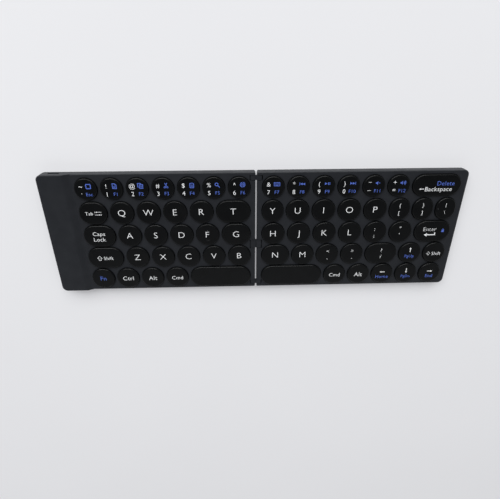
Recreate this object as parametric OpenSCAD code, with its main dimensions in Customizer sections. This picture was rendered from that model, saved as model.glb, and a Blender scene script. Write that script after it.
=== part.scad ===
// Folding keyboard in two halves that close like a book, keys inside.
// X runs from the left end to the right end, Y from the user to the rear, Z up.
// The origin is under the middle of the open keyboard, on the surface it stands on.

/* [Keys] */
// Diameter of a letter key, and the depth of every wide key
key_d = 13.9; // [12.5:0.1:15]
// How much smaller the round keys of the number row are
number_key_cut = 1; // [0:0.1:2]
// Gap between two keys of the front row
key_gap = 1.75; // [1.2:0.05:3]
// Gap between two rows of keys
row_gap = 1; // [0.9:0.05:2]
// Gap between a key and the edge of its hole
key_clearance = 0.3; // [0.25:0.05:0.4]
// Height of the key tops above the deck
key_rise = 1.3; // [1:0.1:1.8]
// How far a key goes down
key_travel = 1.3; // [1:0.1:1.5]
// Height of a key cap from its rim to its top
cap_h = 2.6; // [2.4:0.1:2.8]
// Thickness of the top of a key cap
cap_top_t = 0.9; // [0.7:0.1:1.1]
// Thickness of the wall of a key cap
cap_wall = 0.9; // [0.7:0.1:1.2]
// Width and height of the bevel round the top of a key cap
cap_bevel = 0.45; // [0.2:0.05:0.6]

/* [Wide keys] */
// Width of the left space bar
space_left_w = 38.3; // [36:0.1:46]
// Width of the right space bar
space_right_w = 38.9; // [36:0.1:46]
// Width of the tab key
tab_w = 16.3; // [14.5:0.1:18]
// Width of the T key
t_w = 20.3; // [18:0.1:22]
// Width of the caps lock key
caps_w = 19; // [17:0.1:21]
// Width of the G key
g_w = 17.4; // [15.5:0.1:19]
// Width of the left shift key
shift_w = 21.6; // [19:0.1:24]
// Width of the backspace key
backspace_w = 28.6; // [26:0.1:31]
// Width of the Y key
y_w = 12.7; // [11.5:0.1:14]
// Width of the two bracket keys
bracket_w = 12.4; // [11:0.1:13.5]
// Width of the bar key
bar_w = 11.9; // [11:0.1:13]
// Width of the enter key
enter_w = 22.2; // [20:0.1:24]
// Width of the N key
n_w = 17.3; // [15.5:0.1:19]
// Width of the question mark key
question_w = 19.9; // [18:0.1:22]

/* [Body] */
// From the fold line to the nearest keys
inner_margin = 3.5; // [3.4:0.1:4.5]
// From the keys of the right half to its end
end_margin = 4; // [3.6:0.1:8]
// From the foot of the curved step to the left end
strip_l = 19.15; // [19:0.05:24]
// From the front and rear rows to the edges
edge_margin = 1.75; // [1.6:0.05:4]
// Gap between the two halves when they lie open
slit_w = 1; // [0.7:0.1:1.2]
// Thickness of a half, from the underside of its cover to the deck
body_t = 5.8; // [5.6:0.1:7]
// How far the strip at the left end stands above the deck
strip_rise = 1.6; // [1:0.1:2.2]
// Length of the curved step from the deck up to the strip
step_l = 5; // [3:0.5:8]
// Thickness of the deck
deck_t = 1; // [0.8:0.1:1.2]
// Thickness of the side walls
wall_t = 1.2; // [1:0.1:1.6]
// Radius of the corners at the two ends
end_corner_r = 3.2; // [1.5:0.1:5]
// Radius of the corners beside the fold
fold_corner_r = 0.8; // [0.6:0.1:1.5]
// Bevel along the top and bottom edges
edge_bevel = 0.4; // [0.2:0.05:0.5]
// Height of the seam between housing and cover above the cover's underside
seam_h = 1.5; // [1.3:0.1:2]
// Thickness of the floor of the bottom cover
floor_t = 0.9; // [0.8:0.1:1.2]
// How far the rim of the cover stands back from the housing at the seam
seam_step = 0.12; // [0:0.02:0.3]
// Height of the lip of the cover inside the housing
lip_h = 0.9; // [0.5:0.1:1.5]
// Thickness of that lip
lip_t = 0.6; // [0.5:0.1:0.9]

/* [Hinge] */
// Depth of the two hinge axes below the deck
axis_depth = 1.1; // [1:0.05:1.3]
// Room between the strip and the right-hand keys when closed
closed_clearance = 0.4; // [0.3:0.1:1]
// Radius of the round ends of a hinge link
link_r = 0.9; // [0.8:0.05:0.95]
// Gap round a hinge link in its pocket
link_gap = 0.2; // [0.12:0.02:0.25]
// Length of the front and rear hinge links
end_link_l = 2.8; // [2:0.1:3.2]
// From the front and rear edges to those links
end_link_inset = 2; // [1.8:0.1:2.4]
// Length of the middle link, which the cable passes through
cable_link_l = 5.4; // [5:0.1:6]
// Radius of the hinge pins
pin_r = 0.4; // [0.3:0.05:0.5]
// Radial running clearance of a hinge pin in the housing
pin_clearance = 0.05; // [0.02:0.01:0.08]
// Length of a pin that stands out of a link
pin_reach = 1.3; // [1:0.1:1.5]

/* [Inside] */
// Height of the ribs that carry the key plate
rib_h = 1; // [0.8:0.1:1.2]
// Thickness of the steel key plate
plate_t = 0.4; // [0.3:0.05:0.5]
// Thickness of the membrane circuit
membrane_t = 0.2; // [0.15:0.05:0.3]
// Gap between the switch parts and the underside of a key cap
switch_gap = 0.25; // [0.1:0.05:0.3]
// Thickness of a scissor frame
arm_t = 0.6; // [0.5:0.05:0.7]
// Length of a scissor frame
arm_l = 8; // [7:0.1:8.2]
// Width of the outer scissor frame
arm_w = 7; // [6.6:0.1:7.2]
// Width of the bars of a scissor frame
arm_bar = 0.9; // [0.7:0.05:1]
// Diameter of the foot of a rubber dome
dome_d = 3; // [2.6:0.1:3]
// Length of the battery
battery_l = 38; // [30:1:40]
// Room between the battery and the top of the strip
battery_headroom = 0.7; // [0.5:0.1:1.5]
// Width of the circuit board
board_w = 13; // [11:0.5:13.5]
// Length of the circuit board
board_l = 24; // [20:1:25]
// Thickness of the circuit board
board_t = 0.8; // [0.6:0.1:1]
// Width of the opening of the charging port
port_w = 6.4; // [5:0.1:7]
// Height of the opening of the charging port
port_h = 2; // [1.6:0.1:2.4]
// From the left end to the middle of the charging port
port_from_end = 9.2; // [8.5:0.1:10]
// Width of the flat cable between the halves
cable_w = 3; // [2:0.1:3]
// Thickness of that cable
cable_t = 0.15; // [0.1:0.05:0.2]
// Width of a closing magnet
magnet_w = 1.4; // [1:0.1:1.5]
// Length of a closing magnet
magnet_l = 8; // [5:0.5:10]
// Height of a closing magnet
magnet_h = 1.4; // [1:0.1:1.4]

/* [Screws and feet] */
// Diameter of the thread of a screw
screw_d = 1.2; // [1:0.1:1.3]
// Diameter of the head of a screw
screw_head_d = 2.2; // [1.8:0.1:2.4]
// Height of the head of a screw
screw_head_h = 0.5; // [0.4:0.05:0.5]
// Length of the thread of a screw
screw_l = 3; // [2.5:0.1:3.2]
// Diameter of a screw boss
boss_d = 2.8; // [2.6:0.1:3]
// Diameter of a rubber foot
foot_d = 6; // [4:0.5:8]
// How far a foot stands out below the cover
foot_h = 0.5; // [0.4:0.1:1]
// Depth of the recess that a foot is glued into
foot_recess = 0.4; // [0.3:0.05:0.5]

/* [Hidden] */
strip_from_hole = 0.8; // from the hole of the last key to the foot of the step
number_d = key_d - number_key_cut;
row_pitch = key_d + row_gap;
left_span = 4 * (key_d + key_gap) + space_left_w;
right_span = 5 * (key_d + key_gap) + space_right_w;
depth = 5 * key_d + 4 * row_gap + 2 * edge_margin;
strip_u = inner_margin + left_span + key_clearance + strip_from_hole;
// The two halves are as long as each other, so that they close edge to edge.
half_w = max(inner_margin + right_span + end_margin, strip_u + strip_l);
deck_z = foot_h + body_t;
strip_z = deck_z + strip_rise;
seam_z = foot_h + seam_h;
floor_z = foot_h + floor_t;
plate_z = floor_z + rib_h;
membrane_z = plate_z + plate_t;
switch_z = membrane_z + membrane_t;
cap_z = deck_z + key_rise - cap_h;
cap_under_z = cap_z + cap_h - cap_top_t;
axis_z = deck_z - axis_depth;
axis_u = axis_depth + (strip_rise + key_rise + closed_clearance) / 2;
pocket_u = axis_u + link_r + link_gap;
block_u = pocket_u + 0.5;
NUMBER_ROW = 4;

// One list per row, front row first, each from left to right: the node that the key belongs to
// and the width of the key.
LEFT_ROWS = [
    [["modifier_keys_left", key_d], ["modifier_keys_left", key_d], ["modifier_keys_left", key_d],
     ["modifier_keys_left", key_d], ["space_left", space_left_w]],
    [["modifier_keys_left", shift_w], ["key_z", key_d], ["key_x", key_d], ["key_c", key_d],
     ["key_v", key_d], ["key_b", key_d]],
    [["modifier_keys_left", caps_w], ["key_a", key_d], ["key_s", key_d], ["key_d", key_d],
     ["key_f", key_d], ["key_g", g_w]],
    [["modifier_keys_left", tab_w], ["key_q", key_d], ["key_w", key_d], ["key_e", key_d],
     ["key_r", key_d], ["key_t", t_w]],
    [for (i = [1 : 7]) ["number_keys_left", number_d]]
];
RIGHT_ROWS = [
    [["space_right", space_right_w], ["modifier_keys_right", key_d], ["modifier_keys_right", key_d],
     ["arrow_keys", key_d], ["arrow_keys", key_d], ["arrow_keys", key_d]],
    [["key_n", n_w], ["key_m", key_d], ["symbol_keys_right", key_d], ["symbol_keys_right", key_d],
     ["symbol_keys_right", question_w], ["arrow_keys", key_d], ["modifier_keys_right", key_d]],
    [["key_h", key_d], ["key_j", key_d], ["key_k", key_d], ["key_l", key_d],
     ["symbol_keys_right", key_d], ["symbol_keys_right", key_d], ["enter_key", enter_w]],
    [["key_y", y_w], ["key_u", key_d], ["key_i", key_d], ["key_o", key_d], ["key_p", key_d],
     ["symbol_keys_right", bracket_w], ["symbol_keys_right", bracket_w], ["symbol_keys_right", bar_w]],
    [for (i = [1 : 7]) i < 7 ? ["number_keys_right", number_d] : ["backspace_key", backspace_w]]
];

function width_before(row, i) = i == 0 ? 0 : row[i - 1][1] + width_before(row, i - 1);
function gap_in(row, span) = (span - width_before(row, len(row))) / (len(row) - 1);
function row_y(r) = -depth / 2 + edge_margin + key_d / 2 + r * row_pitch;
// Each key is [node, x, y, width, depth]; x0 is where its rows begin.
function place(rows, span, x0) = [
    for (r = [0 : len(rows) - 1], i = [0 : len(rows[r]) - 1])
        let (w = rows[r][i][1])
        [rows[r][i][0], x0 + width_before(rows[r], i) + i * gap_in(rows[r], span) + w / 2,
         row_y(r), w, r == NUMBER_ROW ? number_d : key_d]
];
LEFT_KEYS = place(LEFT_ROWS, left_span, -inner_margin - left_span);
RIGHT_KEYS = place(RIGHT_ROWS, right_span, inner_margin);
LEFT = -1;
RIGHT = 1;
function keys_of(side) = side == LEFT ? LEFT_KEYS : RIGHT_KEYS;

// The hinge links: [y of the middle, length].
cable_link_y = (row_y(1) + row_y(2)) / 2;
end_link_y = depth / 2 - end_link_inset - end_link_l / 2;
LINKS = [[-end_link_y, end_link_l], [cable_link_y, cable_link_l], [end_link_y, end_link_l]];

// The screws: [distance from the fold, y] on each half. They stand where four round keys leave room.
function between_rows(r) = (row_y(r) + row_y(r + 1)) / 2;
boss_tuck = 0.6; // how far the bosses run into the walls
inner_screw_u = slit_w / 2 + wall_t + boss_d / 2 - boss_tuck;
outer_screw_u = half_w - wall_t - boss_d / 2 + boss_tuck;
strip_screw_y = depth / 2 - wall_t - boss_d / 2 + boss_tuck;
SCREW_ROWS = [0, 2, 3]; // the gaps between rows that have screws, the front one being 0
function screws_of(side) = concat(
    [for (r = SCREW_ROWS) [inner_screw_u, between_rows(r)]],
    side == LEFT ? [for (s = [-1, 1]) [outer_screw_u, s * strip_screw_y]]
                 : [for (r = SCREW_ROWS) [outer_screw_u, between_rows(r)]]);

foot_inset = 9; // from the outer edges to the middle of a foot
foot_from_fold = 12; // from the fold line to the middle of a foot
FEET = [for (u = [foot_from_fold, half_w - foot_inset], s = [-1, 1]) [u, s * (depth / 2 - foot_inset)]];

// Colours as the photograph shows them
DECK_COLOUR = "#2b2d31";
KEY_COLOUR = "#141517";
RUBBER_COLOUR = "#1c1c1c";
STEEL_COLOUR = "#b8babd";

NODES = concat(
    ["top_housing_left", "top_housing_right", "bottom_cover_left", "bottom_cover_right",
     "key_plate_left", "key_plate_right", "membrane_left", "membrane_right",
     "rubber_domes_left", "rubber_domes_right", "scissor_arms_left", "scissor_arms_right",
     "battery", "circuit_board", "charge_port", "hinge_links", "hinge_pins", "flex_cable",
     "screws_left", "screws_right", "feet_left", "feet_right", "magnets_left", "magnets_right"],
    ["number_keys_left", "number_keys_right", "modifier_keys_left", "modifier_keys_right",
     "symbol_keys_right", "arrow_keys", "space_left", "space_right", "enter_key", "backspace_key"],
    [for (c = "abcdefghijklmnopqrstuvwxyz") str("key_", c)]);

// ---- shared shapes ----

// What is drawn for the right half is mirrored for the left one.
module on_side(side) {
    if (side == LEFT) mirror([1, 0, 0]) children();
    else children();
}

// A slot-shaped outline with round ends; the shorter of the two sizes is the diameter.
module slot(w, d) {
    r = min(w, d) / 2;
    translate([-max(w - d, 0) / 2, 0]) circle(r, $fn = 64);
    translate([max(w - d, 0) / 2, 0]) circle(r, $fn = 64);
    translate([0, -max(d - w, 0) / 2]) circle(r, $fn = 64);
    translate([0, max(d - w, 0) / 2]) circle(r, $fn = 64);
    if (w != d) square([w > d ? w - d : w, w > d ? d : d - w], center = true);
}

// Half of the section through a key cap, from its middle out to radius r.
module cap_section(r) {
    polygon([[0, 0], [r, 0], [r, cap_h - cap_bevel], [r - cap_bevel, cap_h], [0, cap_h]]);
}

// A slot-shaped block with a bevel round its top: two half turns and a straight piece.
module cap_block(w, d) {
    r = min(w, d) / 2;
    run = abs(w - d);
    rotate([0, 0, w >= d ? 0 : 90]) {
        if (run < 0.01) rotate_extrude($fn = 64) cap_section(r);
        else {
            for (s = [-1, 1]) translate([s * run / 2, 0, 0])
                rotate([0, 0, -s * 90]) rotate_extrude(angle = 180, $fn = 64) cap_section(r);
            translate([-run / 2, 0, 0]) rotate([90, 0, 90]) linear_extrude(run) {
                cap_section(r);
                mirror([1, 0]) cap_section(r);
            }
        }
    }
}

// A key cap, hollow below, with the two ribs that the scissor frames clip to.
module key_cap(w, d) {
    hollow_h = cap_h - cap_top_t;
    difference() {
        cap_block(w, d);
        translate([0, 0, -1]) linear_extrude(hollow_h + 1) slot(w - 2 * cap_wall, d - 2 * cap_wall);
    }
    for (s = [-1, 1]) translate([s * (arm_l / 2 - 0.6), 0, hollow_h - switch_gap / 2])
        cube([0.7, arm_w / 2, switch_gap], center = true);
}

module keys_in(name) {
    for (k = concat(LEFT_KEYS, RIGHT_KEYS)) if (k[0] == name)
        color(KEY_COLOUR) translate([k[1], k[2], cap_z]) key_cap(k[3], k[4]);
}

// The outline of a half, inset by e, with its own radii at the end and beside the fold.
module half_outline(e) {
    x0 = slit_w / 2 + e;
    x1 = half_w - e;
    y1 = depth / 2 - e;
    re = max(end_corner_r - e, 0.3);
    rf = max(fold_corner_r - e, 0.3);
    translate([x0 + rf, -y1]) square([x1 - re - x0 - rf, 2 * y1]);
    translate([x0, -y1 + rf]) square([x1 - re - x0, 2 * (y1 - rf)]);
    translate([x0 + rf, -y1 + re]) square([x1 - x0 - rf, 2 * (y1 - re)]);
    for (s = [-1, 1]) {
        translate([x0 + rf, s * (y1 - rf)]) circle(rf, $fn = 32);
        translate([x1 - re, s * (y1 - re)]) circle(re, $fn = 64);
    }
}

// The bevelled layer that closes a half above: from from_u to its end, at height z, c high.
module bevel_layer(from_u, round_fold, z, c) {
    y1 = depth / 2;
    re = end_corner_r;
    rf = round_fold ? fold_corner_r : 0;
    lean = round_fold ? c : 0;
    translate([0, 0, z]) {
        rotate([90, 0, 0]) translate([0, 0, -(y1 - re)]) linear_extrude(2 * (y1 - re))
            polygon([[from_u, 0], [half_w, 0], [half_w - c, c], [from_u + lean, c]]);
        rotate([90, 0, 0]) translate([0, 0, -(y1 - max(rf, c))]) linear_extrude(2 * (y1 - max(rf, c)))
            polygon([[from_u, 0], [half_w - re, 0], [half_w - re, c], [from_u + lean, c]]);
        translate([from_u + rf, 0, 0]) rotate([90, 0, 90]) linear_extrude(half_w - re - from_u - rf)
            polygon([[-y1, 0], [y1, 0], [y1 - c, c], [-y1 + c, c]]);
        for (s = [-1, 1]) {
            translate([half_w - re, s * (y1 - re), 0]) cylinder(r1 = re, r2 = re - c, h = c, $fn = 64);
            if (round_fold) translate([from_u + rf, s * (y1 - rf), 0])
                cylinder(r1 = rf, r2 = rf - c, h = c, $fn = 32);
        }
    }
}

// The curved step: half a wave of a cosine from the deck up to the strip.
step_u = strip_u + step_l;
function step_height(t) = strip_rise * (1 - cos(180 * t)) / 2;
module step_section(drop) {
    n = 16;
    polygon(concat([[half_w, -drop], [strip_u, -drop]],
        [for (i = [0 : n]) [strip_u + step_l * i / n, step_height(i / n) - (i == 0 ? drop / 2 : 0)]],
        [[half_w, strip_rise]]));
}

// ---- housings ----

module key_holes(side) {
    low_z = cap_z - key_travel - key_clearance;
    for (k = keys_of(side)) translate([side * k[1], k[2], low_z]) linear_extrude(body_t + strip_rise)
        slot(k[3] + 2 * key_clearance, k[4] + 2 * key_clearance);
}

// Height of the underside of the deck, or of the strip, at distance u from the fold.
function roof_z(side, u) = (side == LEFT && u > step_u ? strip_z : deck_z) - deck_t;

// The room inside a half, below its deck.
module housing_room(side) {
    x0 = slit_w / 2 + wall_t;
    translate([x0, -(depth / 2 - wall_t), foot_h])
        cube([half_w - wall_t - x0, depth - 2 * wall_t, body_t - deck_t]);
    if (side == LEFT) translate([step_u, -(depth / 2 - wall_t), foot_h])
        cube([half_w - wall_t - step_u, depth - 2 * wall_t, body_t + strip_rise - deck_t]);
}

// The solid blocks that hold the hinge pins, at both ends of every link.
block_past_pin = 0.4;
module hinge_blocks() {
    top = deck_z - deck_t / 2;
    low = axis_z - link_r - link_gap - 0.6;
    for (l = LINKS, s = [-1, 1]) {
        y_near = l[0] + s * (l[1] / 2);
        y_far = y_near + s * (pin_reach + block_past_pin);
        y_end = s * y_far > depth / 2 - wall_t ? s * (depth / 2 - wall_t / 2) : y_far;
        translate([slit_w / 2 + wall_t / 2, min(y_near, y_end), low])
            cube([block_u - slit_w / 2 - wall_t / 2, abs(y_end - y_near), top - low]);
    }
}

// The pocket that a link swings up in, open at the slit and at the deck.
module link_pockets() {
    for (l = LINKS) translate([0, l[0] - l[1] / 2 - link_gap, 0]) {
        len = l[1] + 2 * link_gap;
        translate([0, 0, axis_z]) cube([pocket_u, len, body_t]);
        translate([0, 0, axis_z - link_r - link_gap]) cube([axis_u, len, body_t]);
        translate([axis_u, 0, axis_z]) rotate([-90, 0, 0])
            cylinder(r = link_r + link_gap, h = len, $fn = 48);
    }
}

// The bores are blind towards the front and rear faces and open into the housing, where the pins
// are pushed in before the key plate is fitted.
module pin_bores() {
    for (l = LINKS, s = [-1, 1]) {
        blind = abs(l[0] + s * l[1]) > depth / 2 - wall_t - pin_reach;
        reach = l[1] / 2 + pin_reach + (blind ? 0.1 : block_past_pin + 0.1);
        translate([axis_u, l[0], axis_z]) rotate([-s * 90, 0, 0])
            cylinder(r = pin_r + pin_clearance, h = reach, $fn = 32);
    }
}

module screw_bosses(side) {
    for (p = screws_of(side)) translate([p[0], p[1], floor_z])
        cylinder(d = boss_d, h = roof_z(side, p[0]) + deck_t / 2 - floor_z, $fn = 32);
}

module screw_pilots(side) {
    for (p = screws_of(side)) translate([p[0], p[1], floor_z - 1])
        cylinder(d = screw_d, h = screw_l + 1 + 0.2, $fn = 24);
}

// The magnets are glued under the deck beside the end wall, and meet when the halves close.
magnet_u = half_w - wall_t - magnet_w / 2;
MAGNET_Y = [for (s = [-1, 1]) s * row_pitch];

module top_housing(side) color(DECK_COLOUR) on_side(side) difference() {
    union() {
        difference() {
            union() {
                translate([0, 0, seam_z]) linear_extrude(deck_z - edge_bevel - seam_z) half_outline(0);
                bevel_layer(slit_w / 2, true, deck_z - edge_bevel, edge_bevel);
                if (side == LEFT) intersection() {
                    translate([0, 0, deck_z]) rotate([90, 0, 0]) translate([0, 0, -depth / 2])
                        linear_extrude(depth) step_section(2 * edge_bevel);
                    union() {
                        translate([0, 0, seam_z]) linear_extrude(strip_z - edge_bevel - seam_z)
                            half_outline(0);
                        bevel_layer(strip_u, false, strip_z - edge_bevel, edge_bevel);
                    }
                }
            }
            housing_room(side);
        }
        hinge_blocks();
        screw_bosses(side);
    }
    key_holes(side);
    link_pockets();
    pin_bores();
    screw_pilots(side);
    if (side == LEFT) port_opening();
}

module port_opening() {
    translate([half_w - port_from_end - port_w / 2, depth / 2 - 2 * wall_t, port_z])
        cube([port_w, 4 * wall_t, port_h]);
}

// The lip stands inside the housing's wall on the three outer sides.
lip_fit = 0.1;
module cover_lip(side) {
    e = wall_t + lip_fit;
    x0 = block_u + 0.5;
    difference() {
        translate([0, 0, floor_z - 0.2]) linear_extrude(seam_z + lip_h - floor_z + 0.2) intersection() {
            difference() {
                half_outline(e);
                half_outline(e + lip_t);
            }
            translate([x0, -depth]) square([half_w, 2 * depth]);
        }
        if (side == LEFT) translate([board_x - 0.2, board_y, 0])
            cube([board_w + 0.4, depth, 2 * body_t]);
    }
}

// Ribs under the key plate, one below each gap between two rows and one at each edge.
module plate_ribs(side) {
    x0 = plate_u0 + 1;
    x1 = plate_end(side) - 1;
    for (y = [for (r = [0 : 3]) between_rows(r), for (s = [-1, 1]) s * (plate_y - 1)])
        translate([x0, y - 0.4, floor_z - 0.2]) cube([x1 - x0, 0.8, rib_h + 0.2]);
}

module bottom_cover(side) color(DECK_COLOUR) on_side(side) difference() {
    union() {
        difference() {
            union() {
                translate([0, 0, seam_z - seam_h + edge_bevel]) linear_extrude(seam_h - edge_bevel)
                    half_outline(seam_step);
                translate([0, 0, foot_h]) linear_extrude(edge_bevel + 0.01) half_outline(edge_bevel);
            }
            translate([0, 0, floor_z]) linear_extrude(body_t) half_outline(wall_t);
        }
        cover_lip(side);
        plate_ribs(side);
    }
    for (p = screws_of(side)) translate([p[0], p[1], foot_h - 1]) {
        cylinder(d = screw_d + 0.3, h = 1 + 2 * floor_t, $fn = 24);
        cylinder(d = screw_head_d + 0.2, h = 1 + screw_head_h, $fn = 32);
        translate([0, 0, 1 + floor_t]) cylinder(d = boss_d + 2 * lip_fit, h = body_t, $fn = 32);
    }
    for (p = FEET) translate([p[0], p[1], foot_h - 1]) cylinder(d = foot_d, h = 1 + foot_recess, $fn = 48);
}

// ---- key mechanism ----

plate_u0 = block_u + 0.7;
plate_y = depth / 2 - wall_t - 1;
function plate_end(side) = side == LEFT ? strip_u : outer_screw_u - boss_d / 2 - 0.3;

// The plate has two windows under the feet of every scissor, which make it lighter.
window_w = 1.2;
window_l = 4.5;
module key_plate(side) color(STEEL_COLOUR) difference() {
    on_side(side) translate([plate_u0, -plate_y, plate_z])
        cube([plate_end(side) - plate_u0, 2 * plate_y, plate_t]);
    for (k = keys_of(side), s = [-1, 1])
        translate([k[1] + s * (arm_l - window_w) / 2, k[2], plate_z + plate_t / 2])
            cube([window_w, window_l, 2 * plate_t], center = true);
}

// The left membrane has a tail that runs into the connector on the circuit board.
membrane_inset = 0.5;
tail_w = 5;
module membrane(side) color("#8f9a90") on_side(side) {
    x0 = plate_u0 + membrane_inset;
    x1 = plate_end(side) - membrane_inset;
    y1 = plate_y - membrane_inset;
    translate([x0, -y1, membrane_z]) cube([x1 - x0, 2 * y1, membrane_t]);
    if (side == LEFT) translate([x1 - 1, tail_y - tail_w / 2, membrane_z])
        cube([board_x + tail_in - x1 + 1, tail_w, membrane_t]);
}

// A rubber dome: a hollow cone with a flat pad that meets the key.
module rubber_dome() {
    h = cap_under_z - switch_gap - switch_z;
    r = dome_d / 2;
    skin = 0.35;
    rotate_extrude($fn = 32) polygon([[r - skin, 0], [r, 0], [r, 0.3], [r * 0.6, h * 0.75],
        [r * 0.6, h], [0, h], [0, h - 0.9], [r * 0.6 - skin, h * 0.75 - skin], [r - skin, 0.3]]);
}

module rubber_domes(side) color("#d9d6cc")
    for (k = keys_of(side)) translate([k[1], k[2], switch_z]) rubber_dome();

// One scissor frame: a flat ring that leans by angle, w wide.
module scissor_frame(w, angle) {
    rotate([0, angle, 0]) difference() {
        cube([arm_l, w, arm_t], center = true);
        cube([arm_l - 2 * arm_bar, w - 2 * arm_bar, 2 * arm_t], center = true);
    }
}

// Two crossed frames; the inner one carries the pivot stubs that turn in the outer one.
module scissor() {
    low = switch_z;
    high = cap_under_z - switch_gap;
    angle = asin((high - low - arm_t * 1.3) / arm_l);
    inner_w = arm_w - 2 * arm_bar - 0.3;
    stub_r = 0.18;
    translate([0, 0, (low + high) / 2]) {
        difference() {
            scissor_frame(arm_w, angle);
            rotate([90, 0, 0]) cylinder(r = stub_r + 0.04, h = 2 * arm_w, center = true, $fn = 24);
        }
        scissor_frame(inner_w, -angle);
        for (s = [-1, 1]) translate([0, s * (inner_w / 2 + 0.2), 0]) rotate([90, 0, 0])
            cylinder(r = stub_r, h = 0.8, center = true, $fn = 24);
    }
}

module scissor_arms(side) color("#e8e8e4")
    for (k = keys_of(side)) translate([k[1], k[2], 0]) scissor();

// ---- electronics, in the strip at the left end ----

part_gap = 0.4;
port_shell_t = 0.25;
port_len = 5;
board_lift = 0.55;
board_z = floor_z + board_lift;
port_z = board_z + board_t + port_shell_t;
board_x = half_w - port_from_end - board_w / 2;
board_y = depth / 2 - wall_t - part_gap - board_l;

// A pouch cell with its folded edges and the taped end where the leads leave. It fills the strip
// from the step to the magnets. Its two leads run on to pads at the front edge of the board.
lead_d = 0.7;
lead_pitch = 1.4;
module battery() color("#a9abb0") on_side(LEFT) {
    seam = 0.6;
    x = step_u + part_gap;
    y = -strip_screw_y + boss_d / 2 + part_gap;
    w = magnet_u - magnet_w / 2 - part_gap - x;
    t = roof_z(LEFT, half_w) - battery_headroom - floor_z;
    translate([x, y, floor_z]) {
        translate([seam, 1, 0]) cube([w - 2 * seam, battery_l - 2, t]);
        translate([0, 1, t / 2 - 0.2]) cube([w, battery_l - 2, 0.4]);
        translate([2 * seam, 0, t / 2 - 0.3]) cube([w - 4 * seam, battery_l, 0.6]);
    }
    start = y + battery_l - 0.5;
    pad_z = board_z + board_t + lead_d / 2;
    mid_z = floor_z + t / 2;
    path = [[start, mid_z], [board_y - 2, mid_z], [board_y + 0.5, pad_z], [board_y + 2, pad_z]];
    for (i = [0, 1]) translate([x + w - 4 * seam - i * lead_pitch - lead_d, 0, 0]) rotate([90, 0, 90])
        linear_extrude(lead_d) polygon(concat([for (p = path) p - [0, lead_d / 2]],
            [for (k = [len(path) - 1 : -1 : 0]) path[k] + [0, lead_d / 2]]));
}

// The chips on the board: where they begin, as shares of its width and length, and their sizes.
CHIPS = [[0.15, 0.12, [6, 6, 0.9]], [0.7, 0.16, [2, 3, 0.7]], [0.15, 0.48, [4, 3, 0.8]]];
ledge_w = 1;
ledge_l = 4;
// The connector for the tail of the membrane, near the rear of the board's inner edge.
connector_inset = 0.6;
connector_w = 1.8;
connector_h = 1.1;
tail_in = connector_inset + connector_w - 0.8;
tail_fit = 0.05;
tail_y = board_y + board_l - 1.4 - (tail_w + 2) / 2;
module membrane_connector() difference() {
    translate([board_x + connector_inset, tail_y - tail_w / 2 - 1, board_z + board_t - 0.1])
        cube([connector_w, tail_w + 2, connector_h + 0.1]);
    top = membrane_z + membrane_t + tail_fit;
    translate([board_x, tail_y - tail_w / 2 - tail_fit, board_z + board_t])
        cube([tail_in + tail_fit, tail_w + 2 * tail_fit, top - board_z - board_t]);
}

// The board, with its chips, on two ledges under its edges.
module circuit_board() color("#1f5a3a") on_side(LEFT) {
    x = board_x;
    y = board_y;
    notch = outer_screw_u - boss_d / 2 - part_gap;
    difference() {
        translate([x, y, board_z]) cube([board_w, board_l, board_t]);
        translate([notch, strip_screw_y - boss_d / 2 - part_gap, 0]) cube([half_w, depth, body_t * 2]);
    }
    membrane_connector();
    for (c = CHIPS) translate([x + c[0] * board_w, y + c[1] * board_l, board_z + board_t]) cube(c[2]);
    for (u = [ledge_w, board_w - 2 * ledge_w])
        translate([x + u, y + ledge_w, floor_z]) cube([ledge_w, ledge_l, board_z - floor_z]);
}

// The charging socket: a thin steel shell with its contact tongue inside.
module charge_port() color(STEEL_COLOUR) on_side(LEFT)
    translate([half_w - port_from_end, depth / 2 - wall_t - 0.1, port_z + port_h / 2]) rotate([90, 0, 0]) {
        linear_extrude(port_len) difference() {
            square([port_w + 2 * port_shell_t, port_h + 2 * port_shell_t], center = true);
            square([port_w, port_h], center = true);
        }
        translate([0, 0, port_len - 0.4]) linear_extrude(0.4) square([port_w, port_h], center = true);
        translate([0, 0, 0.8]) linear_extrude(port_len - 0.8) square([port_w - 2, 0.5], center = true);
    }

// ---- hinge ----

groove_h = 0.45;
module hinge_links() color("#3a3c40") for (l = LINKS) difference() {
    union() {
        for (s = [-1, 1]) translate([s * axis_u, l[0] - l[1] / 2, axis_z]) rotate([-90, 0, 0])
            cylinder(r = link_r, h = l[1], $fn = 48);
        translate([-axis_u, l[0] - l[1] / 2, axis_z - link_r]) cube([2 * axis_u, l[1], 2 * link_r]);
    }
    // The groove continues the slit across the link.
    translate([-slit_w / 2, l[0] - l[1], axis_z + link_r - groove_h]) cube([slit_w, 2 * l[1], link_r]);
    for (s = [-1, 1]) translate([s * axis_u, l[0] - l[1], axis_z]) rotate([-90, 0, 0])
        cylinder(r = pin_r + 0.01, h = 2 * l[1], $fn = 32);
    if (l[0] == cable_link_y) translate([-2 * axis_u, l[0] - cable_w / 2 - 0.2, axis_z - 0.3])
        cube([4 * axis_u, cable_w + 0.4, 0.6]);
}

// The end links have one pin on each axis; the middle link has a stub at each end.
module hinge_pins() color(STEEL_COLOUR) for (l = LINKS, s = [-1, 1]) translate([s * axis_u, l[0], axis_z])
    if (l[0] == cable_link_y) {
        stub = (l[1] - cable_w) / 2 - 0.4;
        for (e = [-1, 1]) translate([0, e * (l[1] / 2 + (pin_reach - stub) / 2), 0]) rotate([90, 0, 0])
            cylinder(r = pin_r, h = pin_reach + stub, center = true, $fn = 32);
    } else rotate([90, 0, 0]) cylinder(r = pin_r, h = l[1] + 2 * pin_reach, center = true, $fn = 32);

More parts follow.
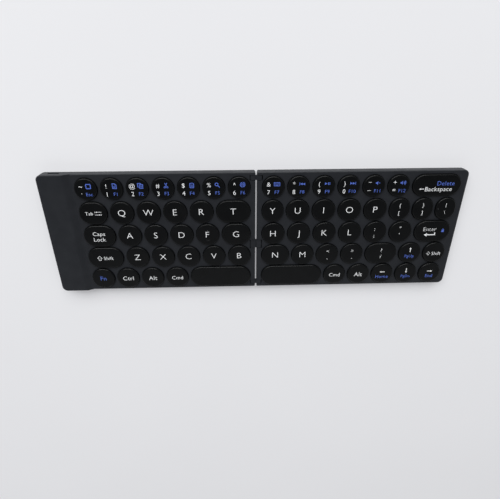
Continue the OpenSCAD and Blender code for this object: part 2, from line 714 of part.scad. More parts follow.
// The flat cable: level through the middle link, then down to the membrane on both sides.
module flex_cable() color("#c08a2e") {
    rise = axis_z - cable_t / 2 - switch_z;
    far = plate_u0 + 8;
    knee = plate_u0 + 1.2;
    top = pocket_u - 0.1;
    path = [[-far, 0], [-knee, 0], [-top, rise], [top, rise], [knee, 0], [far, 0]];
    translate([0, cable_link_y + cable_w / 2, switch_z]) rotate([90, 0, 0]) linear_extrude(cable_w)
        polygon(concat(path, [for (i = [len(path) - 1 : -1 : 0]) path[i] + [0, cable_t]]));
}

// ---- small parts ----

module screws(side) color("#4a4c50") on_side(side) for (p = screws_of(side)) translate([p[0], p[1], foot_h])
    difference() {
        union() {
            cylinder(d = screw_head_d, h = screw_head_h, $fn = 32);
            cylinder(d = screw_d - 0.1, h = floor_t + screw_l, $fn = 24);
        }
        for (a = [0, 90]) rotate([0, 0, a]) cube([screw_head_d * 0.6, 0.35, 0.5], center = true);
    }

module feet(side) color(RUBBER_COLOUR) on_side(side)
    for (p = FEET) translate([p[0], p[1], 0]) cylinder(d = foot_d - 0.1, h = foot_h + foot_recess, $fn = 48);

module magnets(side) color(STEEL_COLOUR) on_side(side) for (y = MAGNET_Y)
    translate([magnet_u - magnet_w / 2, y - magnet_l / 2, roof_z(side, magnet_u) - magnet_h])
        cube([magnet_w, magnet_l, magnet_h]);

// ---- the nodes ----

top_housing(LEFT);  // top_housing_left
top_housing(RIGHT);  // top_housing_right
bottom_cover(LEFT);  // bottom_cover_left
bottom_cover(RIGHT);  // bottom_cover_right
key_plate(LEFT);  // key_plate_left
key_plate(RIGHT);  // key_plate_right
membrane(LEFT);  // membrane_left
membrane(RIGHT);  // membrane_right
rubber_domes(LEFT);  // rubber_domes_left
rubber_domes(RIGHT);  // rubber_domes_right
scissor_arms(LEFT);  // scissor_arms_left
scissor_arms(RIGHT);  // scissor_arms_right
battery();
circuit_board();
charge_port();
hinge_links();
hinge_pins();
flex_cable();
screws(LEFT);  // screws_left
screws(RIGHT);  // screws_right
feet(LEFT);  // feet_left
feet(RIGHT);  // feet_right
magnets(LEFT);  // magnets_left
magnets(RIGHT);  // magnets_right
FIRST_KEY_NODE = 24;
for (i = [FIRST_KEY_NODE : len(NODES) - 1]) keys_in(NODES[i]);
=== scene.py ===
"""Looks of a folding keyboard that lies open: caps, printed legends, mouldings and finishes."""

import math

import bpy
import numpy as np
from mathutils import Matrix, Vector


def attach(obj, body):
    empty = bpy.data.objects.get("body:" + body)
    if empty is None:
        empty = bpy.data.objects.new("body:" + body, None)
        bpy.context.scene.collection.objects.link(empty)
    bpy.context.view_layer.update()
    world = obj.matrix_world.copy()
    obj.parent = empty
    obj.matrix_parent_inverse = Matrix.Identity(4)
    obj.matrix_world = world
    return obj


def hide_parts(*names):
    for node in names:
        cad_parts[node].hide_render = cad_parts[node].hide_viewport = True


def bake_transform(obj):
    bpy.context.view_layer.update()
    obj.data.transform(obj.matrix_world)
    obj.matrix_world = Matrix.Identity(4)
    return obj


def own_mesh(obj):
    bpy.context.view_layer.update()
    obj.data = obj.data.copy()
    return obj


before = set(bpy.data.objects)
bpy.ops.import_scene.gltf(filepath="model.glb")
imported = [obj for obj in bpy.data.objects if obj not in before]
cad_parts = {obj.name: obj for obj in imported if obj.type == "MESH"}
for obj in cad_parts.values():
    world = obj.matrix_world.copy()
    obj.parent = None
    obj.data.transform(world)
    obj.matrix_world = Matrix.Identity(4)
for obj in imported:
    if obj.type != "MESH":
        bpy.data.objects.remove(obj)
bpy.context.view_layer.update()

MM = 0.001

# ---- sizes of the keyboard in millimetres, as the part's source has them ----

KEY_D = 13.9         # the round keys
NUMBER_D = 12.9      # the round keys of the number row
KEY_GAP = 1.75       # between the keys of the front row
ROW_GAP = 1.0
SPACE_LEFT_W = 38.3
SPACE_RIGHT_W = 38.9
INNER_MARGIN = 3.5   # from the fold line to the keys
END_MARGIN = 4.0     # from the keys to the right end
EDGE_MARGIN = 1.75   # from the keys to the front and rear edges
LEFT_SPAN = 4 * (KEY_D + KEY_GAP) + SPACE_LEFT_W
RIGHT_SPAN = 5 * (KEY_D + KEY_GAP) + SPACE_RIGHT_W
DEPTH = 5 * KEY_D + 4 * ROW_GAP + 2 * EDGE_MARGIN
HALF_W = INNER_MARGIN + RIGHT_SPAN + END_MARGIN
KEY_TOP_Z = 7.6
CAP_H = 2.6
CAP_Z = KEY_TOP_Z - CAP_H
CAP_TOP_T = 0.9
CAP_WALL = 0.9
CAP_ROUND = 0.5      # radius of the top edge
CLIP_X, CLIP_W, CLIP_L = 3.4, 0.7, 3.5  # place, width and length of a clip under a cap
CLIP_LOW, CLIP_HIGH = 1.5, 1.72         # its heights over the rim of the cap
SWITCH_Z = 3.0       # top of the membrane, where the domes and scissor frames stand
DOME_ROOM = 0.25     # between a dome and the ceiling of its cap
SWITCH_TOP_Z = KEY_TOP_Z - CAP_TOP_T - DOME_ROOM
AXIS_Z = 5.2         # height of the two hinge axes
CABLE_Y = -7.45
CABLE_W = 3.0
CABLE_T = 0.15
CABLE_END, CABLE_FOOT, CABLE_HEAD = 13.05, 6.25, 3.75  # its end and its climb, from the fold

# Inside the left half, with the distance from the fold line in place of X.
FLOOR_Z = 1.4        # inner floor of the cover
BOARD_TOP_Z = 2.75
BOARD_T = 0.8
BOARD = ((108.95, 12.9), (121.95, 36.9))  # two corners
BOARD_NOTCH = (120.85, 34.7)  # inner corner of the cut for a screw
CHIPS = ((110.9, 15.78, 6.0, 6.0, 0.9), (118.05, 16.74, 2.0, 3.0, 0.7),
         (110.9, 24.42, 4.0, 3.0, 0.8))   # corner, width, depth and height of each
CONNECTOR = ((109.55, 28.5), (111.35, 35.5), 1.1)  # two corners and its height over the board
CONNECTOR_MOUTH_Z = 3.05
CONNECTOR_WALL = 0.95
TAIL_IN = 1.6        # how far the membrane's tail reaches over the board
CELL_LOW = (110.9, -34.7, 1.4)
CELL_HIGH = (121.65, 3.3, 6.2)
CELL_SEAM = 0.6      # width of a folded side seam
CELL_END = 1.0       # from the ends of the cell to its pillow
SEAM_T, FLAP_T, TAPE_T = 0.4, 0.3, 0.9
TAPE_L = 2.4
LEAD_US = (118.9, 117.5)
LEAD_R = 0.35
LEAD_Y = (2.8, 14.9)  # its two ends
LEAD_Z = 3.8  # its middle at the cell
LEAD_DROP_Y, LEAD_DROP_L = 9.4, 4.5  # where its way down to the board starts, its length
LEAD_PAD = ((-0.45, 13.1), (0.45, 15.3))  # two corners, from the middle of the lead
LEG_W, LEG_D, LEG_PITCH = 0.45, 0.35, 0.8  # the legs beside a chip
SINK = 0.02          # how far a solid reaches into the one that carries it

LETTER_H = 4.1       # height of the letters on the letter keys
WHITE, BLUE = "white", "blue"


# ---- materials ----

def to_linear(hex_colour):
    """Linear RGBA of an sRGB hex colour."""
    c = np.array([int(hex_colour[i:i + 2], 16) for i in (1, 3, 5)]) / 255
    c = np.where(c <= 0.04045, c / 12.92, ((c + 0.055) / 1.055) ** 2.4)
    return (*c.tolist(), 1.0)


def add_node(tree, kind, settings=None, inputs=None):
    """Adds a node to a tree and sets its properties and inputs.

    An input is named or numbered, and its value may be another node's output."""
    node = tree.nodes.new("ShaderNode" + kind)
    for name, value in (settings or {}).items():
        setattr(node, name, value)
    for name, value in (inputs or {}).items():
        if isinstance(value, bpy.types.NodeSocket):
            tree.links.new(value, node.inputs[name])
        else:
            node.inputs[name].default_value = value
    return node


def empty_tree(owner):
    """The node tree of a material or a world, with no nodes in it."""
    owner.use_nodes = True
    owner.node_tree.nodes.clear()
    return owner.node_tree


def new_material(name):
    """A material with a principled shader at its defaults, its tree and the shader."""
    material = bpy.data.materials.new(name)
    tree = empty_tree(material)
    shader = add_node(tree, "BsdfPrincipled")
    add_node(tree, "OutputMaterial", inputs={"Surface": shader.outputs["BSDF"]})
    return material, tree, shader


def object_coords(tree, scale=(1, 1, 1)):
    """Object coordinates, stretched by scale."""
    place = add_node(tree, "TexCoord")
    return add_node(tree, "Mapping", inputs={
        "Vector": place.outputs["Object"], "Scale": scale}).outputs[0]


def per_mm(size):
    """Noise scale, in waves per metre, of a grain of this size in millimetres."""
    return 1 / (size * MM)


MOTTLE_SPREAD = 0.2  # of the noise, to both sides of its middle, over which the shade changes
SPECK_R = 0.055      # radius of a speck of dust, as a share of its cell
DUST = "#8f9296"
MIX_A, MIX_B, MIX_RESULT = 6, 7, 2  # colour sockets of a Mix node, which share names with others


def mottle(tree, colour_a, colour_b, grain_mm):
    """A colour that wanders between two shades in grains of the given size."""
    noise = add_node(tree, "TexNoise", inputs={
        "Vector": object_coords(tree), "Scale": per_mm(grain_mm), "Detail": 4.0, "Roughness": 0.6})
    ramp = add_node(tree, "ValToRGB", inputs={"Fac": noise.outputs["Fac"]})
    for stop, side, colour in zip(ramp.color_ramp.elements, (-1, 1), (colour_a, colour_b)):
        stop.position = 0.5 + side * MOTTLE_SPREAD
        stop.color = to_linear(colour)
    return ramp.outputs["Color"]


def grain_bump(tree, grain_mm, height_mm, scale=(1, 1, 1)):
    """The normal of a surface with noise grains of one size and depth; scale draws them out."""
    noise = add_node(tree, "TexNoise", inputs={
        "Vector": object_coords(tree, scale), "Scale": per_mm(grain_mm), "Detail": 2.0})
    return add_node(tree, "Bump", inputs={
        "Height": noise.outputs["Fac"], "Distance": height_mm * MM}).outputs["Normal"]


def varied_roughness(tree, low, high, grain_mm):
    """Roughness that wanders between two values, as handling leaves it."""
    noise = add_node(tree, "TexNoise", inputs={
        "Vector": object_coords(tree), "Scale": per_mm(grain_mm), "Detail": 3.0})
    return add_node(tree, "MapRange", inputs={
        "Value": noise.outputs["Fac"], "From Min": 0.3, "From Max": 0.7,
        "To Min": low, "To Max": high}).outputs["Result"]


def with_dust(tree, colour, share, spacing_mm):
    """The colour with small pale specks of dust, one in a share of the cells of a loose grid."""
    cells = add_node(tree, "TexVoronoi", inputs={
        "Vector": object_coords(tree), "Scale": per_mm(spacing_mm)})
    speck = add_node(tree, "Math", {"operation": "LESS_THAN"},
                     {0: cells.outputs["Distance"], 1: SPECK_R})
    chosen = add_node(tree, "SeparateColor", inputs={"Color": cells.outputs["Color"]})
    some = add_node(tree, "Math", {"operation": "LESS_THAN"}, {0: chosen.outputs["Red"], 1: share})
    both = add_node(tree, "Math", {"operation": "MULTIPLY"},
                    {0: speck.outputs[0], 1: some.outputs[0]})
    mix = add_node(tree, "Mix", {"data_type": "RGBA"}, {
        "Factor": both.outputs[0], MIX_A: colour, MIX_B: to_linear(DUST)})
    return mix.outputs[MIX_RESULT]


def moulded(name, shade_a, shade_b, low=0.42, high=0.5, grain_mm=0.35, depth_mm=0.012, dust=0.02,
            sheen=0.25):
    """An injection-moulded plastic with a fine spark-eroded grain.

    The real grain is near 0.1 mm; it is drawn at about 0.35 mm so that it shows. It breaks up the
    reflections, which gives a soft satin sheen with no clear highlights."""
    shade_mm, dust_mm, wear_mm = 6.0, 5.0, 9.0
    material, tree, shader = new_material(name)
    colour = with_dust(tree, mottle(tree, shade_a, shade_b, shade_mm), dust, dust_mm)
    tree.links.new(colour, shader.inputs["Base Color"])
    tree.links.new(varied_roughness(tree, low, high, wear_mm), shader.inputs["Roughness"])
    tree.links.new(grain_bump(tree, grain_mm, depth_mm), shader.inputs["Normal"])
    shader.inputs["IOR"].default_value = 1.5
    shader.inputs["Specular IOR Level"].default_value = sheen
    return material


def flat_finish(name, hex_a, hex_b, roughness, metallic=0.0, grain_mm=1.0, depth_mm=0.004,
                scale=(1, 1, 1), ior=None, coat=0.0):
    """A plain finish whose colour and surface wander a little, in grains of the given size."""
    wear = 0.04
    material, tree, shader = new_material(name)
    tree.links.new(mottle(tree, hex_a, hex_b, 3 * grain_mm), shader.inputs["Base Color"])
    tree.links.new(varied_roughness(tree, roughness - wear, roughness + wear, 4 * grain_mm),
                   shader.inputs["Roughness"])
    tree.links.new(grain_bump(tree, grain_mm, depth_mm, scale=scale), shader.inputs["Normal"])
    shader.inputs["Metallic"].default_value = metallic
    if ior:
        shader.inputs["IOR"].default_value = ior
    if coat:
        shader.inputs["Coat Weight"].default_value = coat
        shader.inputs["Coat Roughness"].default_value = 0.15
    return material


def striped_film(name, film_hex, trace_hex, pitch_mm, roughness):
    """A film with parallel printed traces along X, pitch_mm apart."""
    material, tree, shader = new_material(name)
    xyz = add_node(tree, "SeparateXYZ", inputs={"Vector": object_coords(tree)})
    phase = add_node(tree, "Math", {"operation": "MULTIPLY"},
                     {0: xyz.outputs["Y"], 1: 2 * math.pi / (pitch_mm * MM)})
    wave = add_node(tree, "Math", {"operation": "SINE"}, {0: phase.outputs[0]})
    trace = add_node(tree, "MapRange", inputs={
        "Value": wave.outputs[0], "From Min": 0.1, "From Max": 0.3})
    mix = add_node(tree, "Mix", {"data_type": "RGBA"}, {
        "Factor": trace.outputs["Result"], MIX_A: to_linear(film_hex), MIX_B: to_linear(trace_hex)})
    tree.links.new(mix.outputs[MIX_RESULT], shader.inputs["Base Color"])
    shader.inputs["Roughness"].default_value = roughness
    return material


# Deck and covers: dark grey ABS with a slight blue cast.
HOUSING = moulded("moulded_abs_deck", "#1e2024", "#232529")
COVER = moulded("moulded_abs_cover", "#1d1f23", "#222428", low=0.46, high=0.54, sheen=0.3)
# Key caps: black ABS with a finer grain, a little smoother where fingers have polished it.
KEYCAP = moulded("moulded_abs_key_cap", "#0b0c0d", "#0e0f10", low=0.25, high=0.31,
                 grain_mm=0.25, depth_mm=0.003, dust=0.01, sheen=0.2)
# Pad-printed ink: opaque, slightly raised, a little glossier than the cap.
WHITE_INK = flat_finish("pad_printed_white_ink", "#e2e4e6", "#eef0f1", 0.4, grain_mm=0.3)
BLUE_INK = flat_finish("pad_printed_blue_ink", "#4a63b8", "#566fc6", 0.4, grain_mm=0.3)
INKS = {WHITE: WHITE_INK, BLUE: BLUE_INK}
# Rolled stainless sheet with its rolling direction along X.
STEEL = flat_finish("rolled_stainless_steel", "#b4b6b9", "#bfc1c4", 0.32, 1.0, grain_mm=0.4,
                    scale=(0.05, 1, 1))
# Membrane: dark PET film with paler printed traces.
MEMBRANE = striped_film("screen_printed_pet_film", "#2c3431", "#565d59", 1.6, 0.35)
# Domes: pale silicone with a dull, soft-looking surface.
SILICONE = flat_finish("moulded_silicone_rubber", "#d3d0c6", "#dedbd2", 0.55, grain_mm=0.5,
                       ior=1.41)
# Scissor frames: off-white acetal, smooth and a little waxy.
SCISSOR = flat_finish("moulded_acetal", "#e4e4df", "#ecece8", 0.42, grain_mm=0.5, ior=1.48)
# Cell: crinkled aluminium laminate.
CELL = flat_finish("laminated_aluminium_pouch", "#a2a4a9", "#b0b2b7", 0.38, 0.9, grain_mm=1.2,
                   depth_mm=0.02)
# Board: green solder mask, a thin gloss over the laminate.
SOLDER_MASK = flat_finish("solder_mask_on_fibreglass", "#1c5435", "#236340", 0.3, grain_mm=0.6,
                          coat=0.3)
# Links: dark nylon with the deck's grain, and no dust in their pockets.
LINK = moulded("moulded_nylon_link", "#1d1f23", "#222428", low=0.44, high=0.52, dust=0.0)
# Flat cable: polyimide under a black cover film, in which the traces show faintly.
FLEX = striped_film("black_covered_polyimide", "#15161a", "#1d1e22", 0.5, 0.35)
# Screws: steel with black zinc, a dark metal sheen.
BLACK_SCREW = flat_finish("black_zinc_plated_steel", "#3c3e42", "#484a4e", 0.36, 0.9, grain_mm=0.2)
# Feet: matt black rubber that takes no highlight.
FOOT = flat_finish("moulded_rubber", "#191919", "#202020", 0.78, grain_mm=0.3, depth_mm=0.02,
                   ior=1.52)
# Tape over the cell's tabs: glossy amber film.
TAPE = flat_finish("amber_polyimide_tape", "#a8741f", "#b9832c", 0.3, grain_mm=1.5, coat=0.4)
# Chips: dull black epoxy. Connector: cream nylon. Pads and legs: bright gold plating.
EPOXY = flat_finish("moulded_epoxy_package", "#161718", "#1d1e20", 0.5, grain_mm=0.2)
NYLON = flat_finish("moulded_nylon_connector", "#d8d2bf", "#e2dcca", 0.5, grain_mm=0.3)
GOLD = flat_finish("gold_plated_pad", "#c9a24a", "#d6b15c", 0.28, 1.0, grain_mm=0.2)
# Leads: satin PVC insulation, red and black.
RED_PVC = flat_finish("red_pvc_insulation", "#9c1d1a", "#ad2723", 0.38, grain_mm=0.4)
BLACK_PVC = flat_finish("black_pvc_insulation", "#161616", "#1e1e1e", 0.38, grain_mm=0.4)
# Magnets: nickel plating, nearly a mirror.
MAGNET = flat_finish("nickel_plated_neodymium", "#b9bbbd", "#c6c8ca", 0.2, 1.0, grain_mm=0.8)

NODE_FINISH = {
    "top_housing_left": HOUSING, "top_housing_right": HOUSING,
    "bottom_cover_left": COVER, "bottom_cover_right": COVER,
    "key_plate_left": STEEL, "key_plate_right": STEEL,
    "membrane_left": MEMBRANE, "membrane_right": MEMBRANE,
    "charge_port": STEEL,
    "hinge_links": LINK, "hinge_pins": STEEL,
    "screws_left": BLACK_SCREW, "screws_right": BLACK_SCREW,
    "magnets_left": MAGNET, "magnets_right": MAGNET,
}


def finish_cad_nodes():
    """Gives each carried-over CAD node its finish."""
    for name, material in NODE_FINISH.items():
        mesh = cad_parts[name].data
        mesh.materials.clear()
        mesh.materials.append(material)


# ---- meshes from arrays ----

SHARP_ANGLE = math.radians(40)  # faces that meet at more than this shade as an edge


def add_object(name, data):
    """An object in the scene."""
    item = bpy.data.objects.new(name, data)
    bpy.context.scene.collection.objects.link(item)
    return item


def make_piece(name, parts, material, body, replaces=None, smooth=True):
    """One mesh piece from parts, each (points in mm, faces), riding on a body if one is given."""
    points, faces, start = [], [], 0
    for part_points, part_faces in parts:
        points.append(np.asarray(part_points, float))
        faces += [tuple(int(i) + start for i in face) for face in part_faces]
        start += len(part_points)
    mesh = bpy.data.meshes.new(name)
    mesh.from_pydata((np.vstack(points) * MM).tolist(), [], faces)
    mesh.materials.append(material)
    mesh.polygons.foreach_set("use_smooth", [smooth] * len(mesh.polygons))
    mesh.update()
    piece = add_object(name, mesh)
    if smooth:
        mesh.set_sharp_from_angle(angle=SHARP_ANGLE)
    if body:
        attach(piece, body)
    if replaces:
        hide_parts(replaces)
    return piece


def tube_faces(rows, columns):
    """Quads between rows of points that close on themselves, and a face over each end."""
    i, j = np.meshgrid(np.arange(rows - 1), np.arange(columns), indexing="ij")
    k = (j + 1) % columns
    quads = np.stack([i * columns + j, i * columns + k, (i + 1) * columns + k,
                      (i + 1) * columns + j], axis=-1).reshape(-1, 4).tolist()
    last = (rows - 1) * columns
    return quads + [tuple(range(columns))[::-1], tuple(range(last, last + columns))]


def inside_out(faces):
    """The faces, each turned to its other side."""
    return [f[::-1] for f in faces]


def slot_outline(w, d, inset, count):
    """Points round a slot w by d with round ends, moved inwards by inset.

    A point is the centre of its end plus the end's radius in its direction; the centres are half
    of the difference between the two sizes from the middle, along the longer one."""
    r = min(w, d) / 2 - inset
    turn = (np.arange(count) + 0.5) * 2 * math.pi / count
    x = np.cos(turn) * r + np.sign(np.cos(turn)) * max(w - d, 0) / 2
    y = np.sin(turn) * r + np.sign(np.sin(turn)) * max(d - w, 0) / 2
    return x, y


def profile_round_slot(w, d, profile, count=64):
    """A closed solid: a profile of (inset, height) pairs carried round a slot outline.

    The first and the last ring are each closed by one flat face, so the profile starts and ends
    on a level face."""
    rings = [np.column_stack([*slot_outline(w, d, inset, count), np.full(count, z)])
             for inset, z in profile]
    return np.vstack(rings), tube_faces(len(rings), count)


def cap_solid(w, d):
    """A key cap: hollow below, a straight side, and a top edge rounded by an arc.

    The profile runs from the ceiling of the hollow down its wall, round the rim, up the side, over
    a quarter circle of the top edge and on to the level top."""
    ceiling, shoulder = CAP_H - CAP_TOP_T, CAP_H - CAP_ROUND
    lean, fillet, inner_rim, outer_rim = 0.04, 0.3, 0.12, 0.15
    profile = [(CAP_WALL + 1.2, ceiling), (CAP_WALL + fillet, ceiling)]
    profile += [(CAP_WALL, ceiling - fillet), (CAP_WALL, inner_rim), (CAP_WALL - inner_rim, 0.0)]
    profile += [(outer_rim, 0.0), (0.0, outer_rim), (lean, shoulder)]
    profile += [(CAP_ROUND + lean - CAP_ROUND * math.cos(t), shoulder + CAP_ROUND * math.sin(t))
                for t in np.radians([15, 30, 45, 60, 72, 82, 90])]
    profile += [(CAP_ROUND + 0.6, CAP_H)]
    return profile_round_slot(w, d, profile)


def box_solid(low, high):
    """A box between two corners, with its faces outwards."""
    (x0, y0, z0), (x1, y1, z1) = low, high
    points = [(x, y, z) for z in (z0, z1) for y in (y0, y1) for x in (x0, x1)]
    return np.array(points, float), [(0, 2, 3, 1), (4, 5, 7, 6), (0, 1, 5, 4), (2, 6, 7, 3),
                                     (0, 4, 6, 2), (1, 3, 7, 5)]


def revolved(profile, count):
    """A solid of revolution about Z from (radius, height) pairs, with flat ends."""
    turn = np.arange(count) * 2 * math.pi / count
    rings = [np.column_stack([r * np.cos(turn), r * np.sin(turn), np.full(count, z)])
             for r, z in profile]
    return np.vstack(rings), tube_faces(len(rings), count)


def moved(part, x=0.0, y=0.0, z=0.0):
    """The part, moved in millimetres."""
    return part[0] + np.array([x, y, z]), part[1]


def turned(part, axis, degrees):
    """The part, turned about an axis through the origin."""
    turn = np.array(Matrix.Rotation(math.radians(degrees), 3, axis))
    return part[0] @ turn.T, part[1]


# ---- printed signs, drawn in a square from -0.5 to 0.5 ----

def stroke(points, width, closed=False):
    """A flat band of the given width along a path, mitred at its corners."""
    p = np.array(points, float)
    step = np.roll(p, -1, axis=0) - p
    if not closed:
        step[-1] = step[-2]
    step /= np.linalg.norm(step, axis=1, keepdims=True)
    before = np.roll(step, 1, axis=0)
    if not closed:
        before[0] = step[0]
    across = np.stack([-(step + before)[:, 1], (step + before)[:, 0]], axis=1)
    length = np.linalg.norm(across, axis=1, keepdims=True)
    across /= length
    across *= np.minimum(width / 2 / np.maximum(length / 2, 0.35), width)
    n = len(p)
    faces = [(i, (i + 1) % n, n + (i + 1) % n, n + i) for i in range(n if closed else n - 1)]
    return np.vstack([p - across, p + across]), faces


def filled(points):
    """A filled outline, listed anticlockwise."""
    return np.array(points, float), [tuple(range(len(points)))]


def arc(cx, cy, r, a0, a1, count, squeeze=1.0):
    """Points on an arc; squeeze narrows it along X."""
    a = np.radians(np.linspace(a0, a1, count))
    return np.stack([cx + squeeze * r * np.cos(a), cy + r * np.sin(a)], axis=1).tolist()


def ring(cx, cy, r, width, squeeze=1.0):
    """A round band."""
    return stroke(arc(cx, cy, r, 0, 345, 24, squeeze), width, closed=True)


def arrow(x0, y0, x1, y1, head, width):
    """A straight arrow with a filled head."""
    a, b = np.array([x0, y0], float), np.array([x1, y1], float)
    along = (b - a) / np.linalg.norm(b - a)
    across = np.array([-along[1], along[0]])
    neck = b - along * head
    return [stroke([a, neck + along * 0.02], width),
            filled([b, neck + across * head * 0.55, neck - across * head * 0.55])]


def play(x, y, r, way=1):
    """A filled triangle that points along X."""
    tip = [(x + way * r, y), (x - way * r, y + r), (x - way * r, y - r)]
    return filled(tip if way > 0 else tip[::-1])


def bar(x, y, w, h):
    """A filled rectangle round (x, y)."""
    return filled([(x - w / 2, y - h / 2), (x + w / 2, y - h / 2), (x + w / 2, y + h / 2),
                   (x - w / 2, y + h / 2)])


def speaker(x):
    """A loudspeaker seen from the side: a box and a cone that opens to the right."""
    return [filled([(x - 0.3, -0.13), (x - 0.12, -0.13), (x + 0.1, -0.34), (x + 0.1, 0.34),
                    (x - 0.12, 0.13), (x - 0.3, 0.13)])]


W = 0.12  # width of a line in a sign

# Each sign is a list of bands and filled shapes.
SIGNS = {
    "window": [stroke([(-.34, -.42), (.34, -.42), (.42, -.34), (.42, .34), (.34, .42), (-.34, .42),
                       (-.42, .34), (-.42, -.34)], 0.16, True)],
    "page": [stroke([(-.32, -.44), (.32, -.44), (.32, .2), (.08, .44), (-.32, .44)], W, True),
             stroke([(.08, .4), (.08, .2), (.28, .2)], W * .8), bar(0, -.06, .38, .09),
             bar(0, -.24, .38, .09)],
    "copy": [stroke([(-.12, -.44), (.44, -.44), (.44, .22), (-.12, .22)], W, True),
             stroke([(-.22, -.2), (-.42, -.2), (-.42, .44), (.14, .44), (.14, .32)], W),
             bar(.16, -.02, .34, .09), bar(.16, -.2, .34, .09)],
    "scissors": [stroke([(-.2, .46), (.16, -.2)], W), stroke([(.2, .46), (-.16, -.2)], W),
                 ring(-.22, -.3, .13, W * .8), ring(.22, -.3, .13, W * .8)],
    "paste": [stroke([(-.3, -.44), (.36, -.44), (.36, .3), (-.3, .3)], W, True),
              bar(.03, .36, .34, .18), bar(.03, .02, .4, .1), bar(.03, -.2, .4, .1)],
    "magnifier": [ring(-.1, .1, .26, W), stroke([(.1, -.12), (.42, -.44)], W * 1.3)],
    "globe": [ring(0, 0, .42, W), ring(0, 0, .42, W * .7, squeeze=0.45), bar(0, 0, .8, W * .7),
              bar(0, .22, .66, W * .6), bar(0, -.22, .66, W * .6)],
    "keyboard": [stroke([(-.5, -.3), (.5, -.3), (.5, .3), (-.5, .3)], W * .8, True)]
    + [bar(x, y, .1, .1) for y in (.14, -.02) for x in (-.34, -.17, 0, .17, .34)]
    + [bar(0, -.18, .44, .08)],
    "previous": [bar(-.46, 0, .1, .5), play(-.18, 0, .22, -1), play(.26, 0, .22, -1)],
    "pause": [play(-.26, 0, .24), bar(.14, 0, .11, .48), bar(.38, 0, .11, .48)],
    "next": [play(-.26, 0, .22), play(.18, 0, .22), bar(.46, 0, .1, .5)],
    "quieter": speaker(-.1) + [bar(.26, 0, .24, .1)],
    "louder": speaker(-.16) + [stroke(arc(-.06, 0, r, -42, 42, 9), W * .8) for r in (.24, .4, .56)],
    "lock": [filled([(-.3, -.44), (.3, -.44), (.3, .08), (-.3, .08)]),
             stroke([(-.19, .04)] + arc(0, .16, .19, 180, 0, 11) + [(.19, .04)], W)],
    "left": arrow(.5, 0, -.5, 0, .34, .13),
    "right": arrow(-.5, 0, .5, 0, .34, .13),
    "up": arrow(0, -.5, 0, .5, .34, .13),
    "down": arrow(0, .5, 0, -.5, .34, .13),
    "shift": [stroke([(-.19, -.42), (.19, -.42), (.19, .0), (.42, .0), (0, .44), (-.42, .0),
                      (-.19, .0)], 0.065, True)],
    "tabs": arrow(.5, .21, -.38, .21, .2, .06) + [bar(-.46, .21, .06, .22)]
    + arrow(-.5, -.23, .38, -.23, .2, .06) + [bar(.46, -.23, .06, .22)],
    "return": [stroke([(.5, .14), (.5, -.08), (-.24, -.08)], .09)]
    + [filled([(-.5, -.08), (-.2, -.24), (-.2, .08)])],
}

PRINT_LIFT = 0.012  # from the top of the cap to the middle of the ink
PRINT_T = 0.02      # thickness of the ink


def sign_mesh(name, size):
    """Points and faces of a sign, size wide, with a top, a bottom and edges."""
    out = []
    for flat, faces in SIGNS[name]:
        n = len(flat)
        xy = flat * size
        points = np.vstack([np.column_stack([xy, np.full(n, z)])
                            for z in (PRINT_T / 2, -PRINT_T / 2)])
        solid = [tuple(f) for f in faces] + [tuple(i + n for i in f[::-1]) for f in faces]
        count = {}
        for f in faces:
            for a, b in zip(f, f[1:] + f[:1]):
                count[(a, b)] = count.get((a, b), 0) + 1
        solid += [(b, a, a + n, b + n) for a, b in count if (b, a) not in count]
        out.append((points, solid))
    return out


CAP_SHARE = 0.73         # height of a capital as a share of the lettering's size
LETTER_THINNER = -0.015  # how far the outlines of letters are drawn in, as a share of the size
WORD_THINNER = -0.004    # the same for words
LETTER_WIDER = 1.08      # the letters on the letter keys are a little wider than the font's
LETTER_SPACING = 1.06
LETTER_CACHE = {}


def text_mesh(text, cap_height):
    """Points and faces of a line of lettering, centred, with its capitals cap_height tall.

    Points that coincide are welded, and faces left with fewer than three points are dropped."""
    if (text, cap_height) not in LETTER_CACHE:
        curve = bpy.data.curves.new("lettering", "FONT")
        curve.body = text
        curve.resolution_u = 3
        curve.extrude = 0.001
        thin = cap_height == LETTER_H or text in ("<", ">", "Enter")
        curve.offset = LETTER_THINNER if thin else WORD_THINNER
        curve.space_character = LETTER_SPACING
        item = add_object("lettering", curve)
        bpy.context.view_layer.update()
        mesh = bpy.data.meshes.new_from_object(item)
        points = np.zeros(len(mesh.vertices) * 3, np.float32)
        mesh.vertices.foreach_get("co", points)
        points = points.reshape(-1, 3).astype(float)
        faces = [tuple(p.vertices) for p in mesh.polygons]
        bpy.data.objects.remove(item)
        bpy.data.meshes.remove(mesh)
        scale = cap_height / CAP_SHARE
        points[:, :2] *= (scale * (LETTER_WIDER if cap_height == LETTER_H else 1.0), scale)
        points[:, 2] = np.sign(points[:, 2]) * PRINT_T / 2
        points[:, 0] -= (points[:, 0].min() + points[:, 0].max()) / 2
        points[:, 1] -= cap_height / 2
        points, kept = np.unique(points.round(5), axis=0, return_inverse=True)
        faces = [tuple(dict.fromkeys(kept.ravel()[list(f)].tolist())) for f in faces]
        LETTER_CACHE[(text, cap_height)] = (points, [f for f in faces if len(f) > 2])
    return LETTER_CACHE[(text, cap_height)]


# ---- the keys: [node, width, what is printed on it] ----
# A print is ("text" or "sign", what, x and y from the middle of the key, its size, its ink).

def letter(c):
    """The print of a letter key."""
    return [("text", c, -0.1, 0.3, LETTER_H, WHITE)]


def upper_lower(upper, lower, dx, height=2.6, rise=2.3, drop=2.1):
    """Two characters, one above the other."""
    return [("text", upper, dx, rise, height, WHITE), ("text", lower, dx, -drop, height, WHITE)]


